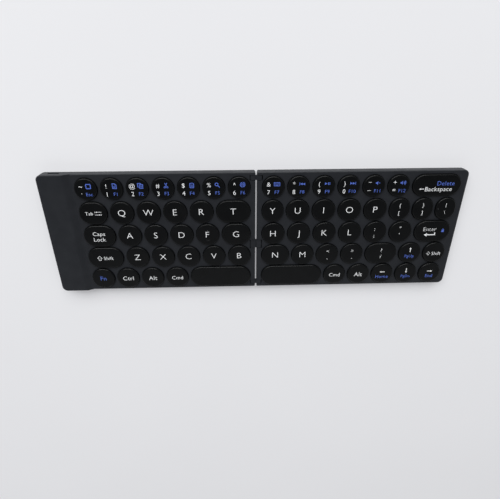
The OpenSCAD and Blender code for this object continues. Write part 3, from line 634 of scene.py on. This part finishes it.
def number(upper, lower, sign, f, rise=1.85, drop=2.9):
    """A key of the number row: two characters at its left, a sign and a function at its right."""
    return [("text", upper, -2.75, rise, 2.7, WHITE), ("text", lower, -2.75, -drop, 2.7, WHITE),
            ("sign", sign, 2.0, 1.85, 3.3, BLUE), ("text", f, 2.1, -2.9, 2.1, BLUE)]


def arrow_key(sign, word, dy, height):
    """An arrow over a word."""
    return [("sign", sign, 0.1, dy, 3.4, WHITE), ("text", word, 0.1, -2.15, height, BLUE)]


SHIFT = [("sign", "shift", -3.7, -0.1, 3.4, WHITE), ("text", "Shift", 1.7, -0.1, 2.3, WHITE)]


def letters(word):
    """The letter keys of a row that are as wide as they are deep."""
    return [["key_" + c.lower(), KEY_D, letter(c)] for c in word]


LEFT_ROWS = [
    [["modifier_keys_left", KEY_D, [("text", "Fn", -0.1, 0.2, 3.0, BLUE)]],
     ["modifier_keys_left", KEY_D, [("text", "Ctrl", 0.1, 0.0, 3.0, WHITE)]],
     ["modifier_keys_left", KEY_D, [("text", "Alt", 0.1, -0.1, 3.0, WHITE)]],
     ["modifier_keys_left", KEY_D, [("text", "Cmd", 0.1, -0.2, 2.6, WHITE)]],
     ["space_left", SPACE_LEFT_W, []]],
    [["modifier_keys_left", 21.6, SHIFT]] + letters("ZXCVB"),
    [["modifier_keys_left", 19.0, [("text", "Caps", -0.2, 1.75, 2.6, WHITE),
                                   ("text", "Lock", -0.2, -2.0, 2.6, WHITE)]]]
    + letters("ASDF") + [["key_g", 17.4, letter("G")]],
    [["modifier_keys_left", 16.3, [("text", "Tab", -2.3, 0.1, 2.1, WHITE),
                                   ("sign", "tabs", 3.0, 0.1, 3.9, WHITE)]]]
    + letters("QWER") + [["key_t", 20.3, letter("T")]],
    [["number_keys_left", NUMBER_D,
      [("text", "~", -2.5, 2.0, 3.0, WHITE), ("text", "`", -2.5, -3.4, 3.0, WHITE),
       ("sign", "window", 1.9, 1.8, 3.0, BLUE), ("text", "Esc", 1.8, -2.9, 2.1, BLUE)]]]
    + [["number_keys_left", NUMBER_D, number(*k)] for k in (
        ("!", "1", "page", "F1"), ("@", "2", "copy", "F2"), ("#", "3", "scissors", "F3"),
        ("$", "4", "paste", "F4"), ("%", "5", "magnifier", "F5"), ("^", "6", "globe", "F6"))],
]
RIGHT_ROWS = [
    [["space_right", SPACE_RIGHT_W, []],
     ["modifier_keys_right", KEY_D, [("text", "Cmd", 0.1, -0.2, 2.6, WHITE)]],
     ["modifier_keys_right", KEY_D, [("text", "Alt", 0.0, -0.2, 3.0, WHITE)]],
     ["arrow_keys", KEY_D, arrow_key("left", "Home", 1.2, 2.4)],
     ["arrow_keys", KEY_D, arrow_key("down", "PgDn", 1.9, 2.0)],
     ["arrow_keys", KEY_D, arrow_key("right", "End", 1.2, 2.4)]],
    [["key_n", 17.3, letter("N")], ["key_m", KEY_D, letter("M")],
     ["symbol_keys_right", KEY_D, upper_lower("<", ",", 0.2)],
     ["symbol_keys_right", KEY_D, upper_lower(">", ".", 0.2)],
     ["symbol_keys_right", 19.9, upper_lower("?", "/", 0.2)],
     ["arrow_keys", KEY_D, arrow_key("up", "PgUp", 2.2, 2.05)],
     ["modifier_keys_right", KEY_D,
      [("sign", "shift", -3.5, -0.6, 2.6, WHITE), ("text", "Shift", 1.5, -0.6, 2.3, WHITE)]]],
    letters("HJKL")
    + [["symbol_keys_right", KEY_D, upper_lower(":", ";", -0.5)],
       ["symbol_keys_right", KEY_D, upper_lower('"', "'", -0.5)],
       ["enter_key", 22.2, [("text", "Enter", -1.7, 1.6, 2.65, WHITE),
                            ("sign", "return", -1.6, -1.75, 6.8, WHITE),
                            ("sign", "lock", 6.5, 0.6, 2.6, BLUE)]]],
    [["key_y", 12.7, letter("Y")]] + letters("UIOP")
    + [["symbol_keys_right", 12.4, upper_lower("{", "[", -0.2, 2.3, 2.6)],
       ["symbol_keys_right", 12.4, upper_lower("}", "]", -0.2, 2.3, 2.6)],
       ["symbol_keys_right", 11.9, upper_lower("|", "\\", -0.2, 2.0, 2.7, 2.2)]],
    [["number_keys_right", NUMBER_D, number(*k)] for k in (
        ("&", "7", "keyboard", "F7"), ("*", "8", "previous", "F8"), ("(", "9", "pause", "F9"),
        (")", "0", "next", "F10"), ("_", "\u2013", "quieter", "F11", 4.0, 2.3),
        ("+", "=", "louder", "F12", 2.2, 2.5))]
    + [["backspace_key", 28.6, [("text", "Delete", 5.0, 1.3, 2.7, BLUE),
                                ("sign", "left", -8.9, -2.2, 2.9, WHITE),
                                ("text", "Backspace", 1.2, -2.2, 2.75, WHITE)]]],
]


NUMBER_ROW = 4


def placed_keys(rows, span, x0, side):
    """Dicts of every key of a half: rows front to rear, each spread evenly over the span."""
    keys = []
    for r, row in enumerate(rows):
        gap = (span - sum(k[1] for k in row)) / (len(row) - 1)
        x = x0
        for node, w, prints in row:
            keys.append({"node": node, "x": x + w / 2, "w": w, "prints": prints, "side": side,
                         "y": -DEPTH / 2 + EDGE_MARGIN + KEY_D / 2 + r * (KEY_D + ROW_GAP),
                         "d": NUMBER_D if r == NUMBER_ROW else KEY_D})
            x += w + gap
    return keys


KEYS = (placed_keys(LEFT_ROWS, LEFT_SPAN, -INNER_MARGIN - LEFT_SPAN, "left")
        + placed_keys(RIGHT_ROWS, RIGHT_SPAN, INNER_MARGIN, "right"))
KEY_NODES = sorted({k["node"] for k in KEYS})


def homing_mark(node):
    """The raised mark under a finger's letter: a low half-round bead along an arc or a line.

    Its width and height fall off towards its ends by the fourth root of a half sine."""
    bead_w, bead_h, sink = 0.22, 0.16, 0.02
    if node == "key_f":
        path = np.array(arc(0.1, -2.6, 1.3, 215, 325, 13))
    else:
        path = np.column_stack([np.linspace(-1.3, 1.3, 9), np.full(9, -3.8)]) + [0.2, 0]
    along = np.gradient(path, axis=0)
    along /= np.linalg.norm(along, axis=1, keepdims=True)
    across = np.column_stack([-along[:, 1], along[:, 0]])
    a = np.radians(np.linspace(0, 180, 7))
    ends = np.sin(np.linspace(0, np.pi, len(path))) ** 0.25
    out, up = bead_w * ends[:, None] * np.cos(a), bead_h * ends[:, None] * np.sin(a) - sink
    points = np.concatenate([path[:, None] + across[:, None] * out[..., None], up[..., None]],
                            axis=-1)
    return points.reshape(-1, 3), tube_faces(len(path), len(a))


def make_caps():
    """The key caps, one piece for each key node."""
    for node in KEY_NODES:
        parts = []
        for k in (k for k in KEYS if k["node"] == node):
            parts.append(moved(cap_solid(k["w"], k["d"]), k["x"], k["y"], CAP_Z))
            for s in (-1, 1):
                clip = box_solid((s * CLIP_X - CLIP_W / 2, -CLIP_L / 2, CLIP_LOW),
                                 (s * CLIP_X + CLIP_W / 2, CLIP_L / 2, CLIP_HIGH))
                parts.append(moved(clip, k["x"], k["y"], CAP_Z))
            if node in ("key_f", "key_j"):
                parts.append(moved(homing_mark(node), k["x"], k["y"], KEY_TOP_Z))
        make_piece("cap_" + node.replace("key_", ""), parts, KEYCAP, node, node)


def make_prints():
    """The printed legends, one piece for each key node and ink."""
    for node in KEY_NODES:
        for ink in (WHITE, BLUE):
            parts = []
            for k in (k for k in KEYS if k["node"] == node):
                for kind, what, dx, dy, size, its_ink in k["prints"]:
                    if its_ink != ink:
                        continue
                    solids = sign_mesh(what, size) if kind == "sign" else [text_mesh(what, size)]
                    parts += [moved(s, k["x"] + dx, k["y"] + dy, KEY_TOP_Z + PRINT_LIFT)
                              for s in solids]
            if parts:
                make_piece(f"print_{node.replace('key_', '')}_{ink}", parts, INKS[ink], node,
                           smooth=False)


# ---- below the keys ----

def dome_solid():
    """A rubber dome: a flat foot, a thin cone that bulges, and a level pad that meets the key."""
    h = SWITCH_TOP_Z - SWITCH_Z
    outer = [(1.5, 0.0), (1.5, 0.25), (1.36, 0.5), (1.3, h * 0.35), (1.12, h * 0.6),
             (0.92, h * 0.76), (0.9, h - 0.12), (0.8, h)]
    inner = [(0.3, h - 0.9), (0.5, h - 0.95), (0.62, h * 0.62), (0.85, h * 0.5), (1.0, h * 0.3),
             (1.1, 0.4), (1.15, 0.0)]
    return revolved(inner + outer, 20)


def scissor_solids():
    """The bars of two crossed frames, one inside the other, which lean in opposite directions."""
    high, low, length, outer_w, bar_w, t, between = SWITCH_TOP_Z, SWITCH_Z, 8.0, 7.0, 0.9, 0.6, 0.3
    thickness_on_slope = t * 1.3
    angle = math.degrees(math.asin((high - low - thickness_on_slope) / length))
    end, edge = length / 2, bar_w / 2
    solids = []
    for w, lean in ((outer_w, angle), (outer_w - 2 * bar_w - between, -angle)):
        bars = [box_solid((-end, s * (w / 2 - edge) - edge, -t / 2),
                          (end, s * (w / 2 - edge) + edge, t / 2)) for s in (-1, 1)]
        bars += [box_solid((s * (end - edge) - edge, -w / 2 + bar_w, -t / 2),
                           (s * (end - edge) + edge, w / 2 - bar_w, t / 2)) for s in (-1, 1)]
        solids += [moved(turned(b, "Y", lean), z=(low + high) / 2) for b in bars]
    return solids


def make_mechanisms():
    """Domes and scissor frames, a piece of each for every key node, each with a mesh of its own."""
    dome, scissor = dome_solid(), scissor_solids()
    for node in KEY_NODES:
        keys = [k for k in KEYS if k["node"] == node]
        side = keys[0]["side"]
        short = node.replace("key_", "")
        domes = make_piece("dome_" + short, [moved(dome, k["x"], k["y"], SWITCH_Z) for k in keys],
                           SILICONE, side + "_half", "rubber_domes_" + side)
        frames = make_piece("scissor_" + short,
                            [moved(s, k["x"], k["y"]) for k in keys for s in scissor], SCISSOR,
                            side + "_half", "scissor_arms_" + side, smooth=False)
        for piece in (domes, frames):
            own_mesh(piece)


def make_feet():
    """Rubber feet: a disc whose lower edge is rounded by an arc and whose face is slightly sunk."""
    level_r, edge, height, from_fold, from_edges = 2.55, 0.4, 0.9, 12, 9
    profile = [(0.5, 0.06), (2.2, 0.04), (2.35, 0.0), (level_r, 0.0)]
    profile += [(level_r + edge * math.sin(t), edge - edge * math.cos(t))
                for t in np.radians([20, 45, 70, 90])]
    profile += [(2.95, height), (0.5, height)]
    for side, sign in (("left", -1), ("right", 1)):
        parts = [moved(revolved(profile, 48), sign * u, s * (DEPTH / 2 - from_edges))
                 for u in (from_fold, HALF_W - from_edges) for s in (-1, 1)]
        make_piece("foot_pads_" + side, parts, FOOT, side + "_half", "feet_" + side)


def make_flex_cable():
    """The flat cable, as two ribbons that meet in the middle link.

    Its height is a smooth step: level on the membrane, up to the axes, and level through the link.
    Its points are closest together over the climb."""
    rise = AXIS_Z - CABLE_T / 2 - SWITCH_Z
    u = np.concatenate([np.linspace(CABLE_END, CABLE_FOOT + 0.6, 6),
                        np.linspace(CABLE_FOOT + 0.4, CABLE_HEAD - 0.2, 17),
                        np.linspace(CABLE_HEAD - 0.5, 0, 12)])
    t = np.clip((CABLE_FOOT - u) / (CABLE_FOOT - CABLE_HEAD), 0, 1)
    z = SWITCH_Z + rise * t * t * (3 - 2 * t)
    corner_y = CABLE_Y + CABLE_W / 2 * np.array([-1, 1, 1, -1])
    corner_z = CABLE_T * np.array([0, 0, 1, 1])
    for side, sign in (("left", -1), ("right", 1)):
        points = np.column_stack([np.repeat(sign * u, 4), np.tile(corner_y, len(u)),
                                  (z[:, None] + corner_z).ravel()])
        faces = tube_faces(len(u), len(corner_y))
        if sign > 0:
            faces = inside_out(faces)
        piece = make_piece("flex_cable_" + side, [(points, faces)], FLEX, None,
                           "flex_cable")
        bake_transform(piece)


def soft_block(low, high, edge, count=48):
    """A block with rounded corners and a bevelled top and bottom.

    Its outline is the superellipse |x/a|^8 + |y/b|^8 = 1, drawn in by the bevel at both ends."""
    (x0, y0, z0), (x1, y1, z1) = low, high
    turn = (np.arange(count) + 0.5) * 2 * math.pi / count
    c, s = np.cos(turn), np.sin(turn)
    reach = (np.abs(c) ** 8 + np.abs(s) ** 8) ** (-1 / 8)
    rings = [np.column_stack([(x0 + x1) / 2 + ((x1 - x0) / 2 - inset) * c * reach,
                              (y0 + y1) / 2 + ((y1 - y0) / 2 - inset) * s * reach,
                              np.full(count, z)])
             for inset, z in ((edge, z0), (0, z0 + edge), (0, z1 - edge), (edge, z1))]
    return np.vstack(rings), tube_faces(len(rings), count)


def pouch(low, high, count=40, rings=25):
    """The pillow of a pouch cell, carried along Y.

    With v from -1 to 1 along its length, the half width is a (1 - v^12)^(1/12) and the half height
    b (1 - v^6)^(1/2); each section is a superellipse of the fifth power."""
    low, high = np.array(low), np.array(high)
    middle, half = (low + high) / 2, (high - low) / 2
    v = np.sin(np.linspace(-1, 1, rings) * math.pi / 2) * 0.995
    turn = np.arange(count) * 2 * math.pi / count
    c, s = np.cos(turn), np.sin(turn)
    reach = (np.abs(c) ** 5 + np.abs(s) ** 5) ** (-1 / 5)
    a = half[0] * (1 - v ** 12) ** (1 / 12)
    b = half[2] * (1 - v ** 6) ** 0.5
    y = np.repeat(middle[1] + half[1] * v, count).reshape(rings, count)
    points = np.stack([middle[0] + a[:, None] * c * reach, y, middle[2] + b[:, None] * s * reach],
                      axis=-1)
    return points.reshape(-1, 3), inside_out(tube_faces(rings, count))


def round_lead(u, count=16):
    """A round wire: a circle carried along a smooth step from the cell's tab down to its pad."""
    y = np.linspace(*LEAD_Y, 25)
    t = np.clip((y - LEAD_DROP_Y) / LEAD_DROP_L, 0, 1)
    z = LEAD_Z - (LEAD_Z - BOARD_TOP_Z - LEAD_R) * t * t * (3 - 2 * t)
    dy, dz = np.gradient(y), np.gradient(z)
    size = np.hypot(dy, dz)
    turn = np.arange(count) * 2 * math.pi / count
    out, up = LEAD_R * np.cos(turn), LEAD_R * np.sin(turn)
    points = np.stack([np.broadcast_to(u + out, (len(y), count)),
                       y[:, None] - up * (dz / size)[:, None],
                       z[:, None] + up * (dy / size)[:, None]], axis=-1)
    return points.reshape(-1, 3), inside_out(tube_faces(len(y), count))


def to_left(part):
    """The part, mirrored to the left half, with its faces turned back outwards."""
    return part[0] * np.array([-1.0, 1.0, 1.0]), inside_out(part[1])


def make_battery():
    """The pouch cell with its folded side seams, the tape over its tabs, and its two leads."""
    (x0, y0, z0), (x1, y1, z1) = CELL_LOW, CELL_HIGH
    mid = (z0 + z1) / 2
    seams = [soft_block((x, y0 + CELL_END, mid - SEAM_T / 2),
                        (x + 2 * CELL_SEAM, y1 - CELL_END, mid + SEAM_T / 2), 0.1)
             for x in (x0, x1 - 2 * CELL_SEAM)]
    body = pouch((x0 + CELL_SEAM, y0 + CELL_END, z0), (x1 - CELL_SEAM, y1 - CELL_END, z1))
    flaps = soft_block((x0 + 2 * CELL_SEAM, y0, mid - FLAP_T / 2),
                       (x1 - 2 * CELL_SEAM, y1 - 1.4, mid + FLAP_T / 2), 0.08)
    tape = soft_block((x0 + 2 * CELL_SEAM, y1 - TAPE_L, mid - TAPE_T / 2),
                      (x1 - 2 * CELL_SEAM, y1, mid + TAPE_T / 2), 0.15)
    for name, parts, material, slot in (
            ("battery_pouch", seams + [body, flaps], CELL, "cell"),
            ("battery_tab_tape", [tape], TAPE, "polyimide"),
            ("battery_lead_plus", [round_lead(LEAD_US[0])], RED_PVC, "silicone"),
            ("battery_lead_minus", [round_lead(LEAD_US[1])], BLACK_PVC, "keycap")):
        make_piece(name, [to_left(p) for p in parts], material, "left_half", "battery")


def extruded(outline, z0, z1):
    """A prism between two heights over an outline listed anticlockwise."""
    n = len(outline)
    points = np.vstack([np.column_stack([outline, np.full(n, z)]) for z in (z0, z1)])
    faces = [tuple(range(n))[::-1], tuple(range(n, 2 * n))]
    return points, faces + [(i, (i + 1) % n, n + (i + 1) % n, n + i) for i in range(n)]


def make_board():
    """The circuit board: laminate with a corner cut for the screw, chips, pads and the connector.

    It stands on two blocks. Each chip has legs on its left and its right, and the connector has a
    mouth for the membrane's tail."""
    (x0, y0), (x1, y1) = BOARD
    nx, ny = BOARD_NOTCH
    top, base = BOARD_TOP_Z, BOARD_TOP_Z - SINK
    outline = [(x0, y0), (x1, y0), (x1, ny), (nx, ny), (nx, y1), (x0, y1)]
    laminate = [extruded(outline, top - BOARD_T, top)]
    laminate += [box_solid((x, y0 + 1, FLOOR_Z), (x + 1, y0 + 5, top - BOARD_T + SINK / 2))
                 for x in (x0 + 1, x1 - 2)]
    chips = [soft_block((x, y, base), (x + w, y + d, top + h), 0.08) for x, y, w, d, h in CHIPS]
    (left, front), (right, rear) = LEAD_PAD
    pads = [box_solid((u + left, front, base), (u + right, rear, top + 0.03)) for u in LEAD_US]
    for x, y, w, d, _ in CHIPS:
        for leg_y in np.arange(y + 0.4, y + d - 0.3, LEG_PITCH):
            pads += [box_solid((leg_x, leg_y, base), (leg_x + LEG_W, leg_y + LEG_D, top + 0.06))
                     for leg_x in (x - 0.4, x + w - 0.05)]
    (cx0, cy0), (cx1, cy1), rise = CONNECTOR
    inner, mouth, foot = x0 + TAIL_IN + 0.05, CONNECTOR_MOUTH_Z, top - 0.05
    shell = [box_solid((inner, cy0, foot), (cx1, cy1, top + rise)),
             box_solid((cx0, cy0, mouth), (inner + SINK, cy1, top + rise))]
    shell += [box_solid((cx0, a, foot), (inner + SINK, b, mouth + SINK))
              for a, b in ((cy0, cy0 + CONNECTOR_WALL), (cy1 - CONNECTOR_WALL, cy1))]
    for name, parts, material, slot in (
            ("board_laminate", laminate, SOLDER_MASK, "board"),
            ("board_chips", chips, EPOXY, "keycap"),
            ("board_pads", pads, GOLD, "steel"),
            ("board_connector", shell, NYLON, "scissor")):
        make_piece(name, [to_left(p) for p in parts], material, "left_half", "circuit_board",
                   smooth=False)


# ---- the studio ----

# The view that was worked out from the outlines of the keys and the body in the photograph.
CAMERA_PLACE = (-11.33, 105.51, 231.37)
CAMERA_ROWS = ((0.99940455, -0.00114715, 0.03448534), (-0.01688676, -0.88783392, 0.45985407),
               (0.03008974, -0.4601626, -0.88732463))
FOCAL_PIXELS = 403.555
FRAME_W = 500
FLOOR_SIZE = 6.0  # metres from its middle to its edges
FLOOR_GLOW = 0.4  # share of the floor's paleness that is its own light

# Light of the pale walls, of the ceiling at the front and of the dim ceiling behind it.
WALL, FRONT, CEILING = 0.4, 0.55, 0.01
WALL_HEIGHT = (0.8, 0.7)     # Z of the directions between which the ceiling turns into the walls
FRONT_DEPTH = (-0.4, -0.54)  # Y of the directions between which the ceiling turns pale
ROOM_TINT = (0.985, 0.985, 1.0, 1)

LAMP_PLACE = (-0.3, 1.5, 1.2)  # metres
LAMP_SIZE = (2.6, 1.2)
LAMP_POWER = 61


def make_camera():
    """The camera at the photograph's angle, with the axes of the worked-out view."""
    data = bpy.data.cameras.new("camera")
    data.sensor_fit = "HORIZONTAL"
    data.sensor_width = 36.0
    data.lens = FOCAL_PIXELS / FRAME_W * data.sensor_width
    data.clip_start = 0.01
    camera = add_object("camera", data)
    right, down, forward = (Vector(r) for r in CAMERA_ROWS)
    turn = Matrix((right, -down, -forward)).transposed().to_4x4()
    camera.matrix_world = Matrix.Translation(Vector(CAMERA_PLACE) * MM) @ turn
    bpy.context.scene.camera = camera


def make_floor():
    """A pale floor that keeps a faint shadow, with a share of glow that lights nothing else."""
    size, shade_mm = FLOOR_SIZE, 300.0
    mesh = bpy.data.meshes.new("floor")
    mesh.from_pydata([(-size, -size, 0), (size, -size, 0), (size, size, 0), (-size, size, 0)], [],
                     [(0, 1, 2, 3)])
    material = bpy.data.materials.new("matt_white_paper")
    tree = empty_tree(material)
    colour = mottle(tree, "#e2e3e5", "#e6e7e9", shade_mm)
    paper = add_node(tree, "BsdfDiffuse", inputs={"Color": colour})
    glow = add_node(tree, "Emission", inputs={"Color": to_linear("#e5e5e9")})
    path = add_node(tree, "LightPath")
    seen = add_node(tree, "Math", {"operation": "MAXIMUM"},
                    {0: path.outputs["Is Camera Ray"], 1: path.outputs["Is Glossy Ray"]})
    seen = add_node(tree, "Math", {"operation": "MAXIMUM"},
                    {0: seen.outputs[0], 1: path.outputs["Is Transmission Ray"]})
    share = add_node(tree, "Math", {"operation": "MULTIPLY"}, {0: seen.outputs[0], 1: FLOOR_GLOW})
    mix = add_node(tree, "MixShader", inputs={
        0: share.outputs[0], 1: paper.outputs[0], 2: glow.outputs[0]})
    add_node(tree, "OutputMaterial", inputs={"Surface": mix.outputs[0]})
    mesh.materials.append(material)
    add_object("floor", mesh)


def make_world():
    """Soft room light: pale walls, and a dim ceiling that grows pale towards the front."""
    world = bpy.data.worlds.new("room")
    bpy.context.scene.world = world
    tree = empty_tree(world)
    place = add_node(tree, "TexCoord")
    xyz = add_node(tree, "SeparateXYZ", inputs={"Vector": place.outputs["Generated"]})
    lights = []
    for axis, (start, end), light in (("Y", FRONT_DEPTH, FRONT), ("Z", WALL_HEIGHT, WALL)):
        step = add_node(tree, "MapRange", {"interpolation_type": "SMOOTHSTEP"}, {
            "Value": xyz.outputs[axis], "From Min": start, "From Max": end,
            "To Min": CEILING, "To Max": light})
        lights.append(step.outputs["Result"])
    brighter = add_node(tree, "Math", {"operation": "MAXIMUM"}, {0: lights[0], 1: lights[1]})
    background = add_node(tree, "Background", inputs={
        "Color": ROOM_TINT, "Strength": brighter.outputs[0]})
    add_node(tree, "OutputWorld", inputs={"Surface": background.outputs[0]})


def make_lamp():
    """A soft box behind the keyboard that faces its middle."""
    data = bpy.data.lights.new("soft_box", "AREA")
    data.shape = "RECTANGLE"
    data.size, data.size_y = LAMP_SIZE
    data.energy = LAMP_POWER
    lamp = add_object("soft_box", data)
    at = Vector(LAMP_PLACE)
    lamp.matrix_world = Matrix.Translation(at) @ at.to_track_quat("Z", "Y").to_matrix().to_4x4()


finish_cad_nodes()
make_camera()
make_caps()
make_prints()
make_mechanisms()
make_feet()
make_flex_cable()
make_battery()
make_board()
make_floor()
make_world()
make_lamp()
bpy.context.scene.view_settings.view_transform = "Standard"
